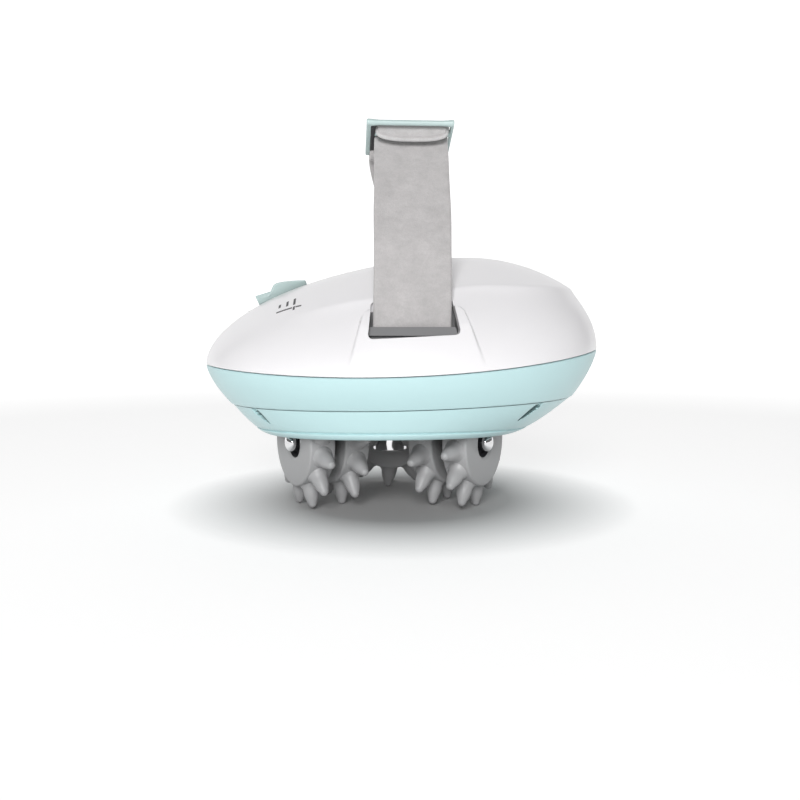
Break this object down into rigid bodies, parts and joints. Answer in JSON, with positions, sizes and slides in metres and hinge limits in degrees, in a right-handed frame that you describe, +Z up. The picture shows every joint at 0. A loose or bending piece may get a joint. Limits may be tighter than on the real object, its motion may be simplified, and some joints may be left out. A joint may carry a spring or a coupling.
{
  "type": "hand-held roller massager",
  "caption": "Pebble-shaped hand-held massager with a hand strap, a slide switch and a powered rotor of spiked rollers under it.",
  "frame": {"origin": "on the surface that the lowest spikes stand on, under the middle of the body", "axes": "+X along the body to its blunt heel, +Y to the rear, +Z up through the strap loop"},
  "size_m": [0.152, 0.12, 0.1442],
  "materials": {
    "white_shell": "satin",
    "mint_shell": "satin",
    "mint_buckle": "satin",
    "grey_liner": "fine grain",
    "wheel_grey": "satin",
    "black_plastic": "fine grain",
    "chrome": "polished",
    "motor_steel": "drawn",
    "steel_small": "turned",
    "brass": "machined",
    "nylon": "moulded",
    "board": "solder mask",
    "velour": "short mottled nap"
  },
  "bodies": {
    "root": {"upper_shell": "white_shell", "lower_shell": "mint_shell", "base_ring": "mint_shell", "front_slot_liner": "grey_liner", "rear_slot_liner": "grey_liner", "front_strap_pin": "steel_small", "rear_strap_pin": "steel_small", "front_strap": "velour", "rear_strap": "velour", "strap_buckle": "mint_buckle", "switch_track": "black_plastic", "switch_body": "black_plastic", "power_inlet": "black_plastic", "circuit_board": "board", "chassis_plate": "black_plastic", "gear_bridge": "black_plastic", "motor": "motor_steel", "idler_pin": "steel_small", "lower_bush": "brass", "upper_bush": "brass", "shell_screw_1": "steel_small", "shell_screw_2": "steel_small", "shell_screw_3": "steel_small", "shell_screw_4": "steel_small", "chassis_screw_1": "steel_small", "chassis_screw_2": "steel_small", "chassis_screw_3": "steel_small", "chassis_screw_4": "steel_small", "bridge_screw_1": "steel_small", "bridge_screw_2": "steel_small", "bridge_screw_3": "steel_small", "bridge_screw_4": "steel_small"},
    "rotor": {"spindle": "chrome", "rotor_disc": "black_plastic", "output_gear": "nylon", "left_roller_arm": "black_plastic", "left_axle": "chrome", "left_axle_spacer": "wheel_grey", "right_roller_arm": "black_plastic", "right_axle": "chrome", "right_axle_spacer": "wheel_grey", "rear_roller_arm": "black_plastic", "rear_axle": "chrome", "rear_axle_spacer": "wheel_grey"},
    "idler": {"idler_gear": "nylon"},
    "pinion": {"motor_pinion": "brass"},
    "left_outer_roller": {"left_outer_wheel": "wheel_grey"},
    "left_inner_roller": {"left_inner_wheel": "wheel_grey"},
    "right_outer_roller": {"right_outer_wheel": "wheel_grey"},
    "right_inner_roller": {"right_inner_wheel": "wheel_grey"},
    "rear_outer_roller": {"rear_outer_wheel": "wheel_grey"},
    "rear_inner_roller": {"rear_inner_wheel": "wheel_grey"},
    "slider": {"switch_slider": "mint_buckle"},
    "tab": {"strap_tab": "velour"}
  },
  "joints": [
    {"name": "rotor_spin", "type": "hinge", "parent": "root", "child": "rotor", "pos_m": [-0.005, 0, 0.03], "axis": [0, 0, 1], "continuous": true},
    {"name": "idler_spin", "type": "hinge", "parent": "root", "child": "idler", "pos_m": [0.019, 0, 0.06], "axis": [0, 0, 1], "continuous": true},
    {"name": "pinion_spin", "type": "hinge", "parent": "root", "child": "pinion", "pos_m": [0.034, 0, 0.065], "axis": [0, 0, 1], "continuous": true},
    {"name": "left_outer_roll", "type": "hinge", "parent": "rotor", "child": "left_outer_roller", "pos_m": [-0.005, 0, 0.025], "axis": [-0.8988, -0.4384, 0], "continuous": true},
    {"name": "left_inner_roll", "type": "hinge", "parent": "rotor", "child": "left_inner_roller", "pos_m": [-0.005, 0, 0.025], "axis": [-0.8988, -0.4384, 0], "continuous": true},
    {"name": "right_outer_roll", "type": "hinge", "parent": "rotor", "child": "right_outer_roller", "pos_m": [-0.005, 0, 0.025], "axis": [0.829, -0.5592, 0], "continuous": true},
    {"name": "right_inner_roll", "type": "hinge", "parent": "rotor", "child": "right_inner_roller", "pos_m": [-0.005, 0, 0.025], "axis": [0.829, -0.5592, 0], "continuous": true},
    {"name": "rear_outer_roll", "type": "hinge", "parent": "rotor", "child": "rear_outer_roller", "pos_m": [-0.005, 0, 0.025], "axis": [0.0698, 0.9976, 0], "continuous": true},
    {"name": "rear_inner_roll", "type": "hinge", "parent": "rotor", "child": "rear_inner_roller", "pos_m": [-0.005, 0, 0.025], "axis": [0.0698, 0.9976, 0], "continuous": true},
    {"name": "switch_slide", "type": "slide", "parent": "root", "child": "slider", "axis": [0.9166, 0, 0.3997], "range_m": [-0.004, 0.004]},
    {"name": "strap_tab_peel", "type": "hinge", "parent": "root", "child": "tab", "pos_m": [0.0027, -0.01289, 0.14028], "axis": [-1, 0, 0], "range_deg": [0, 50]}
  ],
  "couplings": [
    {"joint": "idler_spin", "follows": "rotor_spin", "ratio": -4},
    {"joint": "pinion_spin", "follows": "rotor_spin", "ratio": 16}
  ]
}
